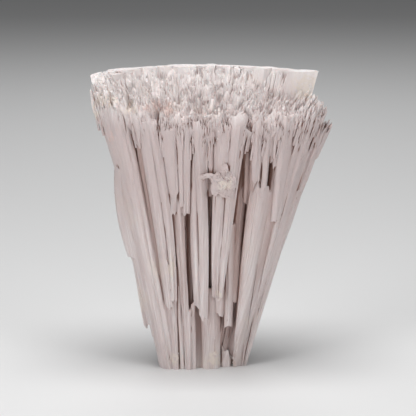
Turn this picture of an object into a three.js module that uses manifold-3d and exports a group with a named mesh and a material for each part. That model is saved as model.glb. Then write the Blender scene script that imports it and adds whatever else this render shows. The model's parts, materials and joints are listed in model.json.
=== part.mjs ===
// Manganoan calcite: fibrous bundles that fan up from a narrow broken base to a bristling
// growth face, all grown together as one piece. Millimetres, +Z up, front towards -Y,
// origin at the middle of the flat base.
import * as THREE from "three";
import { mergeVertices } from "three/addons/utils/BufferGeometryUtils.js";
import Module from "manifold-3d";

// Driving dimensions.
const RIM = 118; // height of the flat rear rim
const LIP = 105.5; // height of the growth face at its front lip
const LIP_LEFT = { rise: 6, from: -0.3, over: 0.6 }; // the lip climbs towards its left end
const FALL = 0.65; // under 1, the face drops faster behind the rim than towards the lip
const BASE_HALF_WIDTH = 17;
const BASE_HALF_DEPTH = 12;
const RIM_HALF_WIDTH = 50.3;
const RIM_HALF_DEPTH = 27;
const LEAN = 5.6; // the fan's middle drifts this far to +X by the rim
const SHOULDER = { from: 0.81, to: 1.02, top: 112, bottom: 103.5 }; // the low right end
const CUT = 3; // bundles start this far below the base before it is cut flat

// 2 makes a quarter of the cross-section an ellipse, more makes it boxier, less cuts its corner.
const SQUARENESS = { front: 2.5, rearLeft: 1.8, rearRight: 1.45 };

// A bundle's front: how far its sides fall back, at most and as a share of its breadth, how
// boxy it is, and how far the crest rolls back at a tip that comes near the lip.
const ROUND = { most: 2.6, share: 0.5, power: 2.5 };
const CREST = { back: 1.5, near: 6 };
const BUNDLE_THICK = 7;
const BUNDLE_SEGMENTS = [4, 2]; // across and along the fibres

const SEED = 7;
const MERGE = 1e-4; // corners closer than this are one

const { lerp, clamp, degToRad, radToDeg } = THREE.MathUtils;

// Repeatable random numbers from 0 to 1, a linear congruence.
const RANDOM = { times: 1664525, plus: 1013904223, modulo: 2 ** 32 };

function seeded(seed) {
  let state = seed;
  return () => {
    state = (state * RANDOM.times + RANDOM.plus) % RANDOM.modulo;
    return state / RANDOM.modulo;
  };
}

// Fan space: u runs across from -1 to 1 and v from -1 at the front to 1 at the back.
function fan(u, v, z) {
  const t = z / RIM;
  const x = LEAN * t + u * lerp(BASE_HALF_WIDTH, RIM_HALF_WIDTH, t);
  const y = v * lerp(BASE_HALF_DEPTH, RIM_HALF_DEPTH, t);
  return [x, y, z];
}

function squareness(u, v) {
  if (v < 0) return SQUARENESS.front;
  return u < 0 ? SQUARENESS.rearLeft : SQUARENESS.rearRight;
}

// The point [u, v] of the cross-section's edge at an angle in degrees, 0 to the right.
function edge(degrees) {
  const [u, v] = [Math.cos(degToRad(degrees)), Math.sin(degToRad(degrees))];
  const bend = (x) => Math.sign(x) * Math.abs(x) ** (2 / squareness(u, v));
  return [bend(u), bend(v)];
}

// Height of the growth face: a flat rear rim, a fall to the front lip, and the low shoulder.
function faceHeight(u, v) {
  const forward = clamp((1 - v) / 2, 0, 1);
  const lip = LIP + LIP_LEFT.rise * clamp((LIP_LEFT.from - u) / LIP_LEFT.over, 0, 1);
  const face = RIM - (RIM - lip) * forward ** FALL;
  if (u < SHOULDER.from) return face;
  const out = (u - SHOULDER.from) / (SHOULDER.to - SHOULDER.from);
  return Math.min(face, lerp(SHOULDER.top, SHOULDER.bottom, out));
}

// The point inset mm behind the front of the cross-section, at x and at height z.
function onFront(x, inset, z) {
  const t = z / RIM;
  const u = (x - LEAN * t) / lerp(BASE_HALF_WIDTH, RIM_HALF_WIDTH, t);
  const reach = (1 - Math.min(Math.abs(u), 1) ** SQUARENESS.front) ** (1 / SQUARENESS.front);
  return [x, Math.min(inset - reach * lerp(BASE_HALF_DEPTH, RIM_HALF_DEPTH, t), 0), z];
}

// The point inset mm inside the edge, at an angle in degrees; out is 1 for flush with the edge.
function onWall(degrees, inset, z, out) {
  const [x, y] = fan(...edge(degrees), z);
  const middle = (LEAN * z) / RIM;
  const share = out - inset / Math.hypot(x - middle, y);
  return [middle + (x - middle) * share, y * share, z];
}

const wasm = await Module();
wasm.setup();

// A closed geometry as a solid.
function solidOf(geometry) {
  const bare = geometry.clone();
  bare.deleteAttribute("normal");
  bare.deleteAttribute("uv");
  const merged = mergeVertices(bare, MERGE);
  return new wasm.Manifold(
    new wasm.Mesh({
      numProp: 3,
      vertProperties: merged.attributes.position.array,
      triVerts: new Uint32Array(merged.index.array),
    }),
  );
}

// A bundle of fibres: a box of fibre length whose front is rounded.
// top and base: both its edges at its tip and its foot, as x for place = onFront and as an angle
// for place = onWall. bow: how far its middle bends sideways. wide: mm per unit of its edges.
// deep: how far it lies behind the edge of the cross-section. out: see onWall.
// slant and lobe: how much lower the right side and the middle of its foot hang.
// fluted: how deep every second line of its front is pressed in.
function bundle({ tip, foot, place, out = 1, ...shape }) {
  const { segments = BUNDLE_SEGMENTS, thick = BUNDLE_THICK } = shape;
  const geometry = new THREE.BoxGeometry(2, 1, 1, segments[0], segments[1], 1);
  const points = geometry.attributes.position;
  for (let i = 0; i < points.count; i++) {
    const [share, level, front] = [points.getX(i), points.getY(i) + 0.5, points.getZ(i) > 0];
    const hang = level > 0 || foot < 0 || !front ? 0 : footHang(share, shape);
    const z = lerp(foot, tip, level) + hang;
    const { along, breadth } = acrossBundle(share, level, shape);
    const atLip = level === 1 && place === onFront && tip > LIP - CREST.near;
    const rolled = frontFall(share, breadth, shape) + (atLip ? CREST.back : 0);
    const inset = (shape.deep ?? 0) + (front ? rolled : thick);
    points.setXYZ(i, ...place(along, inset, z, out));
  }
  return solidOf(geometry);
}

// How far above the foot's height a point of a broken foot lies.
function footHang(share, { slant = 0, lobe = 0 }) {
  return lobe * share ** 2 - (slant * share) / 2;
}

// Where a point lies across a bundle, and the bundle's breadth there in mm.
function acrossBundle(share, level, { top, base, bow = 0, wide = 1 }) {
  const [left, right] = [lerp(base[0], top[0], level), lerp(base[1], top[1], level)];
  const middle = (left + right) / 2 + bow * 4 * level * (1 - level);
  return { along: middle + (share * (right - left)) / 2, breadth: (right - left) * wide };
}

// How far a bundle's front falls back at a share of the way from its middle to its sides.
function frontFall(share, breadth, { segments = BUNDLE_SEGMENTS, fluted = 0 }) {
  const flat = Math.max(1 - Math.abs(share) ** ROUND.power, 0) ** (1 / ROUND.power);
  const line = Math.round(((share + 1) / 2) * segments[0]);
  return Math.min(ROUND.most, ROUND.share * breadth) * (1 - flat) + fluted * (line % 2);
}

// The front bundles, left to right, then the recessed ones of the lower half.
const FRONT = [
  { tip: 110, foot: 3, top: [-42.6, -38], base: [-15.6, -13.4], deep: 0.2 },
  { tip: 111, foot: -CUT, top: [-38.4, -33.4], base: [-15.2, -11.4], bow: 1.2 },
  { tip: 109, foot: -CUT, top: [-33.6, -28.7], base: [-11.6, -7.6], bow: 2.4, deep: 0.4 },
  { tip: 108.5, foot: 31, top: [-27.7, -22.3], base: [-12.2, -10], bow: 1.5, deep: -0.4 },
  { tip: 107.5, foot: 28.6, top: [-22.6, -16.6], base: [-10.6, -8.2], bow: 2.2, lobe: 2 },
  { tip: 96, foot: 17.4, top: [-13.5, -6.6], base: [-5.7, -3.8], deep: 1.3, slant: 2 },
  { tip: 104.5, foot: 72, top: [-12.8, -8.4], base: [-11.2, -7.2], deep: -0.7, lobe: 2.5 },
  { tip: 105, foot: 69.5, top: [-8.6, -5.6], base: [-7.4, -5.3], deep: 0.2, lobe: 1 },
  { tip: 105.5, foot: 64.9, top: [-5.8, -3], base: [-5.8, -3.2] },
  { tip: 92, foot: 26.3, top: [-3.4, 0], base: [-1.4, 1.6], bow: 0.4, deep: 1.4, slant: 2 },
  { tip: 106, foot: 22, top: [-2.4, 0.4], base: [0.4, 3.8], bow: 1.2, deep: -0.4, slant: 3 },
  { tip: 106, foot: 69.5, top: [1.2, 4.2], base: [2, 3.2], deep: 1, lobe: 1.5 },
  { tip: 105, foot: 78, top: [4.6, 7.4], base: [4.8, 7.2], deep: 1.5 },
  { tip: 105.5, foot: 30.5, top: [8, 12.9], base: [5.6, 8.4], bow: -1, deep: 0.3 },
  { tip: 107, foot: 31.4, top: [12.8, 19.7], base: [8, 9.8], deep: -0.7 },
  { tip: 63, foot: 18.2, top: [10.5, 14.6], base: [10.6, 13.8], deep: 1.8, lobe: -1.2 },
  { tip: 96, foot: 69, top: [18.4, 20.8], base: [17.6, 19.4], deep: 2.7, lobe: 2.5 },
  { tip: 106, foot: 78.2, top: [21.4, 26.2], base: [21.2, 24.4], lobe: 1.6 },
  { tip: 106, foot: 71.5, top: [26, 29.2], base: [24.6, 26.8], deep: 0.6, lobe: 1 },
  { tip: 91, foot: -CUT, top: [22.4, 25.8], base: [13.6, 16.2], bow: -1.5, deep: 1.2 },
  { tip: 107.5, foot: 62, top: [31.7, 38.2], base: [28.6, 33.4], deep: -0.3, slant: -1.5 },
  { tip: 75, foot: -CUT, top: [27.6, 33], base: [15.2, 17.4], deep: 0.8 },
  { tip: 107, foot: 24.5, top: [38, 42], base: [22.8, 25.2], deep: 0.7 },
  { tip: 105.5, foot: 46, top: [41.8, 46.4], base: [29.6, 31.6], deep: 0.3 },
  { tip: 104, foot: 63, top: [46.2, 50.2], base: [34.6, 37.2], deep: 0.3 },
  { tip: 46, foot: -CUT, top: [-11.4, -5], base: [-9.4, -3.2], deep: 1.8 },
  { tip: 36, foot: -CUT, top: [0.6, 8.8], base: [1.8, 9], deep: 2.2 },
  { tip: 40, foot: -CUT, top: [11, 14], base: [11.2, 13.2], deep: 4 },
];

// Wide low bundles that close the shallow joints between the front ones.
const FILLS = [
  { tip: 106, foot: -CUT, top: [-41, -29], base: [-15, -10.8], deep: 1.5 },
  { tip: 106, foot: -CUT, top: [-29.4, -16.8], base: [-11, -6.4], deep: 1.6 },
  { tip: 104, foot: 66, top: [-12.6, -3.2], base: [-11, -3.6], deep: 1.5 },
  { tip: 104, foot: 34, top: [8, 19], base: [6.2, 9.4], deep: 1.5 },
  { tip: 105, foot: 76, top: [21.6, 31.4], base: [21.4, 30], deep: 1.6 },
  { tip: 105, foot: -CUT, top: [31, 40.6], base: [14.6, 16], deep: 1.6 },
  { tip: 105, foot: -CUT, top: [40.2, 49.6], base: [15.8, 17], deep: 1.6 },
];

function frontBundles() {
  const front = FRONT.map((shape) => bundle({ ...shape, place: onFront }));
  const fills = FILLS.map((shape) => bundle({ ...shape, place: onFront, segments: [3, 2] }));
  return [...front, ...fills];
}

const MM_PER_DEGREE = 0.8; // about how wide a degree of the wall is
const FLUTE = 0.9; // how deep the ledges are fluted

// Ledges of the left flank (180 degrees) and the right flank (0).
const FLANKS = [
  { tip: 113.5, foot: 92, top: [160, 197], base: [162, 195], out: 0.95 },
  { tip: 109, foot: 80, top: [184, 212], base: [184, 208], out: 0.95 },
  { tip: 82, foot: 43, top: [160, 186], base: [164, 188], out: 1.0 },
  { tip: 75, foot: 47, top: [156, 184], base: [160, 184], out: 1.05 },
  { tip: 61, foot: 32, top: [158, 196], base: [160, 196], out: 0.97 },
  { tip: 35, foot: 15, top: [165, 196], base: [168, 196], out: 1.045 },
  { tip: 82, foot: 3.5, top: [156, 204], base: [156, 204], out: 0.92 },
  { tip: 110, foot: 77, top: [-24, 12], base: [-20, 10], out: 0.945 },
  { tip: 107, foot: 67, top: [-20, 12], base: [-16, 10], out: 1.0 },
  { tip: 103, foot: 81, top: [-16, 10], base: [-14, 8], out: 1.05 },
  { tip: 100, foot: 85, top: [-10, 10], base: [-8, 8], out: 1.08 },
  { tip: 93, foot: 59, top: [-16, 12], base: [-14, 10], out: 1.04 },
  { tip: 75, foot: 24, top: [-18, 14], base: [-16, 12], out: 1.035 },
  { tip: 85, foot: 3, top: [-26, 18], base: [-24, 18], out: 0.94 },
];

function flankLedges() {
  return FLANKS.map((ledge) =>
    bundle({ ...ledge, place: onWall, wide: MM_PER_DEGREE, segments: [8, 1], fluted: FLUTE }),
  );
}

// Bundles round the sides and the back. The rim's run starts past the low shoulder.
const WALL = { first: -14, shoulder: 31, last: 194, shoulderCount: 5, rimCount: 17 };
const WALL_OUT = { least: 0.93, most: 1, side: 0.92, sideFrom: 0.8, sideFoot: 3 };
const WALL_THICK = 3.4; // how thick the flat rim is
const WALL_OVERLAP = 0.5; // degrees that neighbours share at each side
const CORNER = { from: 0.8, over: 0.2, fall: 2.4 }; // the rim falls at its left end
const HANGING = { chance: 0.4, low: 8, spread: 50, out: 0.05 }; // bundles broken off higher up

function wallRun(first, last, count, atRim, random) {
  return Array.from({ length: count }, (_, i) => {
    const [start, end] = [lerp(first, last, i / count), lerp(first, last, (i + 1) / count)];
    const [u, v] = edge((start + end) / 2);
    const atSide = Math.abs(u) > WALL_OUT.sideFrom;
    const corner = Math.max(-u - CORNER.from, 0) / CORNER.over;
    const rim = RIM + (corner > 0 ? -CORNER.fall * corner : CUT);
    const shape = {
      tip: atRim && v > 0 ? rim : faceHeight(u, v),
      foot: atSide ? WALL_OUT.sideFoot : -CUT,
      top: [start - WALL_OVERLAP, end + WALL_OVERLAP],
      base: [start - WALL_OVERLAP, end + WALL_OVERLAP],
      out: atSide ? WALL_OUT.side : lerp(WALL_OUT.least, WALL_OUT.most, random()),
      thick: WALL_THICK,
      place: onWall,
      wide: MM_PER_DEGREE,
      segments: [3, 1],
    };
    if (atSide || random() > HANGING.chance) return [bundle(shape)];
    const foot = HANGING.low + HANGING.spread * random();
    return [bundle(shape), bundle({ ...shape, foot, out: shape.out + HANGING.out })];
  }).flat();
}

function wallBundles(random) {
  const shoulder = wallRun(WALL.first, WALL.shoulder, WALL.shoulderCount, false, random);
  return [...shoulder, ...wallRun(WALL.shoulder, WALL.last, WALL.rimCount, true, random)];
}

// Pointed crystals all over the growth face, on a sunflower pattern.
const TIPS = { count: 72, golden: 137.508, root: 10, half: 2.7, far: 0.88, rise: 4 };
const TIP_POINT = { least: 3, most: 6 }; // height of a crystal's point
const TIP_SIZES = { least: 0.8, most: 1.2 }; // share by which widths and corners differ
const TIP_SIDES = 5;
const PITS = { share: 0.14, deep: 4.5, uneven: 3.5 };

// One crystal: an uneven pointed prism that stands in the growth face.
function crystal(u, v, tip, half, point, random) {
  const outline = [
    [0, 0],
    [1, 0],
    [1, 1],
    [0, 2],
  ];
  const profile = outline.map(([radius, level]) => new THREE.Vector2(radius, level));
  const geometry = new THREE.LatheGeometry(profile, TIP_SIDES);
  const turn = random() * 2 * Math.PI;
  const sizes = () => lerp(TIP_SIZES.least, TIP_SIZES.most, random());
  const uneven = Array.from({ length: TIP_SIDES }, sizes);
  const chipped = Array.from({ length: TIP_SIDES }, () => random() - 0.5);
  const points = geometry.attributes.position;
  for (let i = 0; i < points.count; i++) {
    const [x, level, y] = [points.getX(i), Math.round(points.getY(i)), points.getZ(i)];
    const radius = Math.hypot(x, y);
    const turned = Math.atan2(x, y) / (2 * Math.PI) + 1;
    const corner = Math.round(turned * TIP_SIDES) % TIP_SIDES;
    const angle = (corner / TIP_SIDES) * 2 * Math.PI + turn;
    const chip = radius > 0 ? (chipped[corner] * point) / 2 : 0;
    const z = [tip - TIPS.root, tip - point + chip, tip][level];
    const middle = fan(u, v, z);
    const spread = radius * uneven[corner] * half;
    points.setXYZ(i, middle[0] + spread * Math.cos(angle), middle[1] + spread * Math.sin(angle), z);
  }
  return solidOf(geometry);
}

function tipCrystals(random) {
  return Array.from({ length: TIPS.count }, (_, i) => {
    const [edgeU, edgeV] = edge((i * TIPS.golden) % 360);
    const far = Math.sqrt((i + 0.5) / TIPS.count) * TIPS.far;
    const [u, v] = [edgeU * far, edgeV * far];
    const pit = random() < PITS.share ? PITS.deep : 0;
    const rise = TIPS.rise * Math.max(v, 0) - pit + PITS.uneven * (random() - 0.5);
    const point = lerp(TIP_POINT.least, TIP_POINT.most, random());
    const half = TIPS.half * lerp(TIP_SIZES.least, TIP_SIZES.most, random());
    return crystal(u, v, faceHeight(u, v) + rise, half, point, random);
  });
}

// The crust lump on the front: x and z of each lobe's middle and its half sizes.
const LUMP_DEPTH = 1.5;
const LUMP_FACETS = [8, 5];
const LUMP = [
  [10.4, 79.2, 4.8, 4.8],
  [10.5, 84.9, 1.7, 2.6],
  [11.3, 76.2, 2.7, 3],
  [7.2, 78.4, 2.4, 4],
  [3.6, 82, 3.6, 1],
];

function crustLump() {
  return LUMP.map(([x, z, halfX, halfZ]) => {
    const lobe = new THREE.SphereGeometry(1, ...LUMP_FACETS);
    lobe.rotateX(Math.PI / 2);
    lobe.scale(halfX, LUMP_DEPTH, halfZ);
    lobe.translate(x, onFront(x, 0, z)[1], z);
    return solidOf(lobe);
  });
}

// The point of the solid middle at an angle, a share of the way out to its side, at height z.
// It is the floor of the crevices in front, and reaches close to the wall elsewhere.
const INSIDE = { front: 5.2, wall: 2, out: 0.95 };

function inside(degrees, radius, z) {
  const inset = Math.sin(degToRad(degrees)) < 0 ? INSIDE.front : INSIDE.wall;
  const [x, y] = onWall(degrees, inset, z, INSIDE.out);
  const middle = (LEAN * z) / RIM;
  return [middle + (x - middle) * radius, y * radius, z];
}

const HEART = { sides: 32, below: 7, rings: [1, 0.66, 0.33] };

function heart() {
  const outline = [[0, 0], [1, 0], ...HEART.rings.map((radius) => [radius, 1]), [0, 1]];
  const profile = outline.map(([radius, level]) => new THREE.Vector2(radius, level));
  const geometry = new THREE.LatheGeometry(profile, HEART.sides);
  const points = geometry.attributes.position;
  for (let i = 0; i < points.count; i++) {
    const [x, level, y] = [points.getX(i), points.getY(i), -points.getZ(i)];
    const degrees = radToDeg(Math.atan2(y, x));
    const [edgeU, edgeV] = edge(degrees);
    const radius = Math.hypot(x, y);
    const height = faceHeight(edgeU * radius, edgeV * radius) - HEART.below;
    points.setXYZ(i, ...inside(degrees, radius, level > 0 ? height : -CUT));
  }
  return solidOf(geometry);
}

// The crumbly ground between the crystals of the growth face: a block of uneven height.
const GROUND = { across: 18, deep: 11, thick: 12, below: 2.2, rough: 4.4 };

function crumblyGround(random) {
  const { across, deep, thick, below, rough } = GROUND;
  const geometry = new THREE.BoxGeometry(2, 2, 1, across, deep, 1);
  const bumps = Array.from({ length: (across + 1) * (deep + 1) }, () => random() - 0.5);
  const points = geometry.attributes.position;
  for (let i = 0; i < points.count; i++) {
    const [a, b, top] = [points.getX(i), points.getY(i), points.getZ(i) > 0];
    const round = [a * Math.sqrt(1 - b ** 2 / 2), b * Math.sqrt(1 - a ** 2 / 2)];
    const degrees = radToDeg(Math.atan2(round[1], round[0]));
    const radius = Math.hypot(...round);
    const [edgeU, edgeV] = edge(degrees);
    const height = faceHeight(edgeU * radius, edgeV * radius);
    const column = Math.round(((a + 1) / 2) * across);
    const row = Math.round(((b + 1) / 2) * deep);
    const bump = bumps[row * (across + 1) + column] * rough;
    points.setXYZ(i, ...inside(degrees, radius, height - (top ? below - bump : thick)));
  }
  return solidOf(geometry);
}

// A box that reaches far past the specimen, with one face at a height, to cut it flat.
const SLAB_SIZE = 500;

function slab(height, upwards) {
  const size = SLAB_SIZE;
  const box = new THREE.BoxGeometry(size, size, size);
  box.translate(0, 0, height + (upwards ? size / 2 : -size / 2));
  return solidOf(box);
}

// The outside alone, so that no hollow stays sealed between the bundles.
function outerSkin(solid) {
  return solid.decompose().reduce((a, b) => (a.volume() > b.volume() ? a : b));
}

const PALE_PINK = [0.78, 0.71, 0.7];
const ROUGHNESS = 0.55;

function specimen() {
  const random = seeded(SEED);
  const grown = [
    heart(),
    crumblyGround(random),
    ...frontBundles(),
    ...flankLedges(),
    ...wallBundles(random),
    ...tipCrystals(random),
    ...crustLump(),
  ].reduce((all, piece) => all.add(piece));
  const cut = outerSkin(grown.subtract(slab(0, false)).subtract(slab(RIM, true))).getMesh();
  const geometry = new THREE.BufferGeometry();
  geometry.setAttribute("position", new THREE.BufferAttribute(cut.vertProperties, cut.numProp));
  geometry.setIndex(new THREE.BufferAttribute(cut.triVerts, 1));
  geometry.computeVertexNormals();
  const calcite = new THREE.MeshStandardMaterial({
    color: new THREE.Color(...PALE_PINK),
    roughness: ROUGHNESS,
    metalness: 0,
    flatShading: true,
  });
  const mesh = new THREE.Mesh(geometry, calcite);
  mesh.name = "calcite_specimen";
  return mesh;
}

const part = new THREE.Group();
part.add(specimen());

export default part;
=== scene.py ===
"""Manganoan calcite: the fine fibres, broken feet, crust and bristling tips of the specimen."""

import json
import math
import random

import bmesh
import bpy
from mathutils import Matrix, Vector
from mathutils.bvhtree import BVHTree
from mathutils.noise import noise

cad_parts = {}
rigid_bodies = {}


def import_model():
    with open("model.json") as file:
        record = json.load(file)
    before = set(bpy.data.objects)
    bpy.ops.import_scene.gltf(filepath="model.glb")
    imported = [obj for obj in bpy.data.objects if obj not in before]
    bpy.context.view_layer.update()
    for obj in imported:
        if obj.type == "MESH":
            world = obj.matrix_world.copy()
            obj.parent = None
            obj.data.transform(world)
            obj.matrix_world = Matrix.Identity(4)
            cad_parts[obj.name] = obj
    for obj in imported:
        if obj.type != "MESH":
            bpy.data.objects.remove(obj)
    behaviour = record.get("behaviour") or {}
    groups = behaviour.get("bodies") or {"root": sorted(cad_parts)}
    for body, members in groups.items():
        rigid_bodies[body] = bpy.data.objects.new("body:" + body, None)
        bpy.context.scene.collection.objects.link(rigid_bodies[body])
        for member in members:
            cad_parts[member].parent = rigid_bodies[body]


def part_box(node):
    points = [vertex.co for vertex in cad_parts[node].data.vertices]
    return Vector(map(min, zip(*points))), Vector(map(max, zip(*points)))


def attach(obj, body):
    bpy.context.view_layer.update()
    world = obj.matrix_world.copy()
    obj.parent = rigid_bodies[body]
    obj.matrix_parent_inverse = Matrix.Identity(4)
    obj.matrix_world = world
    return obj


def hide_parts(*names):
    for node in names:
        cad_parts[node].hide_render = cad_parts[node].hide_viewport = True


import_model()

NODE = "calcite_specimen"
MM = 0.001  # every length below is in millimetres unless a comment says otherwise

# ---- driving dimensions
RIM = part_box(NODE)[1].z / MM  # height of the flat rear rim
LIP = 105.5  # height of the growth face at its front lip
LIP_LEFT = 6.0  # how much higher the lip stands at the left end
LIP_LEFT_FROM, LIP_LEFT_RUN = 0.3, 0.6  # in -u: where it starts to rise, and over how far
FALL = 0.65  # under 1, the face drops faster behind the rim than towards the lip
BASE_HALF_WIDTH = 17.0
BASE_HALF_DEPTH = 12.0
RIM_HALF_WIDTH = 50.3
RIM_HALF_DEPTH = 27.0
LEAN = 5.6  # the fan's middle drifts this far to +X by the rim
# 2 makes a quarter of the cross-section an ellipse, more makes it boxier, less cuts its corner.
FRONT_SQUARENESS, REAR_LEFT_SQUARENESS, REAR_RIGHT_SQUARENESS = 2.5, 1.8, 1.45
FRONT_END = 0.94  # in u: past this a bundle's front faces straight forward
SHOULDER_FROM, SHOULDER_TO = 0.81, 1.02  # the low right end of the face, in u
SHOULDER_TOP, SHOULDER_BOTTOM = 112.0, 103.5
HEART_SHARE, HEART_BELOW = 0.55, 9.0  # the solid middle that every fibre grows from
CUT = 3.0  # fibres start this far below the base before it is cut flat

rng = random.Random(7)


def lerp(a, b, t):
    return a + (b - a) * t


def clamp(share):
    return min(max(share, 0), 1)


def draw(span):
    return rng.uniform(*span)


# ---- the fan
def fan(u, v, z):
    """The point that lies u across (-1 to 1) and v deep (-1 is the front) at height z."""
    t = z / RIM
    x = LEAN * t + u * lerp(BASE_HALF_WIDTH, RIM_HALF_WIDTH, t)
    y = v * lerp(BASE_HALF_DEPTH, RIM_HALF_DEPTH, t)
    return x, y, z


def u_at(x, z):
    """How far across x lies at height z."""
    t = z / RIM
    return (x - LEAN * t) / lerp(BASE_HALF_WIDTH, RIM_HALF_WIDTH, t)


def squareness(u, v):
    if v < 0:
        return FRONT_SQUARENESS
    return REAR_LEFT_SQUARENESS if u < 0 else REAR_RIGHT_SQUARENESS


def reach(u, side=-1):
    """How far the cross-section's edge lies from its long axis at u, at the front or the back."""
    square = squareness(u, side)
    return (1 - min(abs(u), 1) ** square) ** (1 / square)


def edge(degrees):
    """The point (u, v) of the cross-section's edge at an angle, 0 to the right, 90 to the back."""
    angle = math.radians(degrees)
    u, v = math.cos(angle), math.sin(angle)
    power = 2 / squareness(u, v)
    return math.copysign(abs(u) ** power, u), math.copysign(abs(v) ** power, v)


def face_height(u, v):
    """Height of the growth face: a flat rear rim, a fall to the front lip, a low shoulder."""
    forward = clamp((1 - v) / 2)
    lip = LIP + LIP_LEFT * clamp((-u - LIP_LEFT_FROM) / LIP_LEFT_RUN)
    face = RIM - (RIM - lip) * forward**FALL
    if u < SHOULDER_FROM:
        return face
    out = (u - SHOULDER_FROM) / (SHOULDER_TO - SHOULDER_FROM)
    return min(face, lerp(SHOULDER_TOP, SHOULDER_BOTTOM, out))


# ---- closed solids
pieces = bpy.data.collections.new("growing")
bpy.context.scene.collection.children.link(pieces)


def add_solid(verts, faces, name):
    mesh = bpy.data.meshes.new(name)
    mesh.from_pydata([tuple(c * MM for c in v) for v in verts], [], faces)
    obj = bpy.data.objects.new(name, mesh)
    pieces.objects.link(obj)
    return obj


def stack(rings, foot, tip, name):
    """A closed solid through rings of points, with its middle points at the foot and the tip."""
    sides = len(rings[0])
    verts = [point for ring in rings for point in ring] + [foot, tip]
    last = len(rings) - 1
    faces = []
    for i in range(sides):
        j = (i + 1) % sides
        faces.append((len(verts) - 2, j, i))
        faces.append((len(verts) - 1, last * sides + i, last * sides + j))
        for k in range(last):
            low, high = k * sides, (k + 1) * sides
            faces.append((low + i, low + j, high + j, high + i))
    return add_solid(verts, faces, name)


# ---- where a bundle stands
# Both give the point inset mm inside the edge of the cross-section, at s along it and at z. Along
# the front s is x in mm and out isn't used. Round the rest s is degrees, and out is 1 for flush.
def on_front(s, inset, z, out=1.0):
    deep = reach(min(abs(u_at(s, z)), FRONT_END)) * lerp(BASE_HALF_DEPTH, RIM_HALF_DEPTH, z / RIM)
    return s, min(inset - deep, 0), z


def on_wall(s, inset, z, out=1.0):
    x, y, _ = fan(*edge(s), z)
    middle = LEAN * z / RIM
    share = out - inset / math.hypot(x - middle, y)
    return middle + (x - middle) * share, y * share, z


# ---- bundles
MM_PER_DEGREE = 0.8  # along the edge at the rim, about
ROUND = 2.6  # how far a wide bundle's sides fall back behind its middle
ROUND_SHARE = 0.4  # the same for a narrow one, over its breadth
WALL_ROUND = 1.3  # the same for a wide one of the sides and the back
PROFILE = 1.8  # 2 makes a bundle's front round, more makes it flat with steep sides
PROFILE_TO = 0.99  # how far round that profile a bundle's sides come
# A bundle's low relief, coarse and fine: height, then how fast it changes across and along.
SWELLS = ((0.55, 0.22, 0.03), (0.3, 0.6, 0.05))
CREST, CREST_BACK = 6.0, 2.6  # the crest rolls back this far over its last few millimetres
CREST_FROM = LIP - 6  # only bundles of the front that end above this height have a crest


def share_up(bundle, z):
    return (z - bundle["foot"]) / (bundle["tip"] - bundle["foot"])


def across(bundle, share, z):
    """Where along the edge a share (-1 to 1) of a bundle's breadth lies at height z."""
    t = share_up(bundle, z)
    low, high = (lerp(*bundle[end], (share + 1) / 2) for end in ("base", "top"))
    return lerp(low, high, t) + bundle.get("bow", 0) * 4 * t * (1 - t)


def step(place):
    """How many millimetres one step along the edge is."""
    return MM_PER_DEGREE if place is on_wall else 1


def breadth(bundle, place, z):
    return abs(across(bundle, 1, z) - across(bundle, -1, z)) * step(place)


def along(bundle, name, default, z):
    """A bundle's value at height z: one number, or a pair for its foot and its tip."""
    value = bundle.get(name, default)
    return lerp(*value, share_up(bundle, z)) if isinstance(value, tuple) else value


def surface(bundle, place, share, z, inset):
    """The point inset mm below a bundle's rounded front."""
    most = WALL_ROUND if place is on_wall else ROUND
    rounding = min(most, ROUND_SHARE * breadth(bundle, place, z))
    side = max(1 - abs(share * PROFILE_TO) ** PROFILE, 0) ** (1 / PROFILE)
    wide = share * abs(bundle["top"][1] - bundle["top"][0]) * step(place)
    swell = 0.0
    for height, by_breadth, by_height in SWELLS:
        swell += height * noise(Vector((wide * by_breadth, z * by_height, bundle["seed"])))
    crest = 0.0
    if place is on_front and bundle["tip"] > CREST_FROM:
        crest = CREST_BACK * max(1 - (bundle["tip"] - z) / CREST, 0) ** 2
    inset += along(bundle, "deep", 0.0, z) + rounding * (1 - side) - swell + crest
    return place(across(bundle, share, z), inset, z, along(bundle, "out", 1.0, z))


COLUMN = 0.66  # breadth of the fine columns that a bundle's skin is made of
COARSE = 1.6  # how much coarser the skin of the sides, the back and the crevices is
FEWEST_COLUMNS = 4
FLAKE_SHARE = 0.45  # at so many columns a new flake starts, with one foot and head
FLAKE_FOOT, FLAKE_HEAD = (-1.2, 1.6), (-4.5, 1.2)  # how far these lie above the bundle's
HEAD_SPREAD = 0.8  # how far a column's own head differs from its flake's
SPREAD = 0.16  # how far fine columns stand out or back
STEPS_SHARE, STEP_DEPTH = 0.45, (0.15, 0.45)  # how many flakes have a broken step, how deep
SKIN_BELOW = 0.2  # how far the skin lies below its bundle's front
GRAIN, GRAIN_ACROSS, GRAIN_ALONG = 0.2, 13, 0.09  # the skin's unevenness, given as a swell is
GRAIN_SLICE = 3.0  # a noise's last coordinate picks one slice of it


def fine_columns(bundle, place):
    """The columns of a bundle's skin: neighbours share a broken foot and the steps above it."""
    wide = breadth(bundle, place, (bundle["foot"] + bundle["tip"]) / 2)
    count = max(FEWEST_COLUMNS, round(wide / (COLUMN * bundle.get("coarse", 1))))
    made = []
    foot, head, steps = 0.0, 0.0, []
    for i in range(count + 1):
        share = 2 * i / count - 1
        if rng.random() < FLAKE_SHARE:
            foot, head = draw(FLAKE_FOOT), draw(FLAKE_HEAD)
            height, depth = rng.uniform(bundle["foot"], bundle["tip"]), draw(STEP_DEPTH)
            steps = [(height, depth)] if rng.random() < STEPS_SHARE else []
        hang = foot + bundle.get("lobe", 0) * share**2 - bundle.get("slant", 0) * share / 2
        column = dict(share=share, foot=hang if bundle["foot"] > 0 else 0.0, steps=steps)
        column["head"] = head + rng.uniform(-HEAD_SPREAD, HEAD_SPREAD)
        column["stand"] = rng.uniform(-SPREAD, SPREAD)
        made.append(column)
    return made


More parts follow.
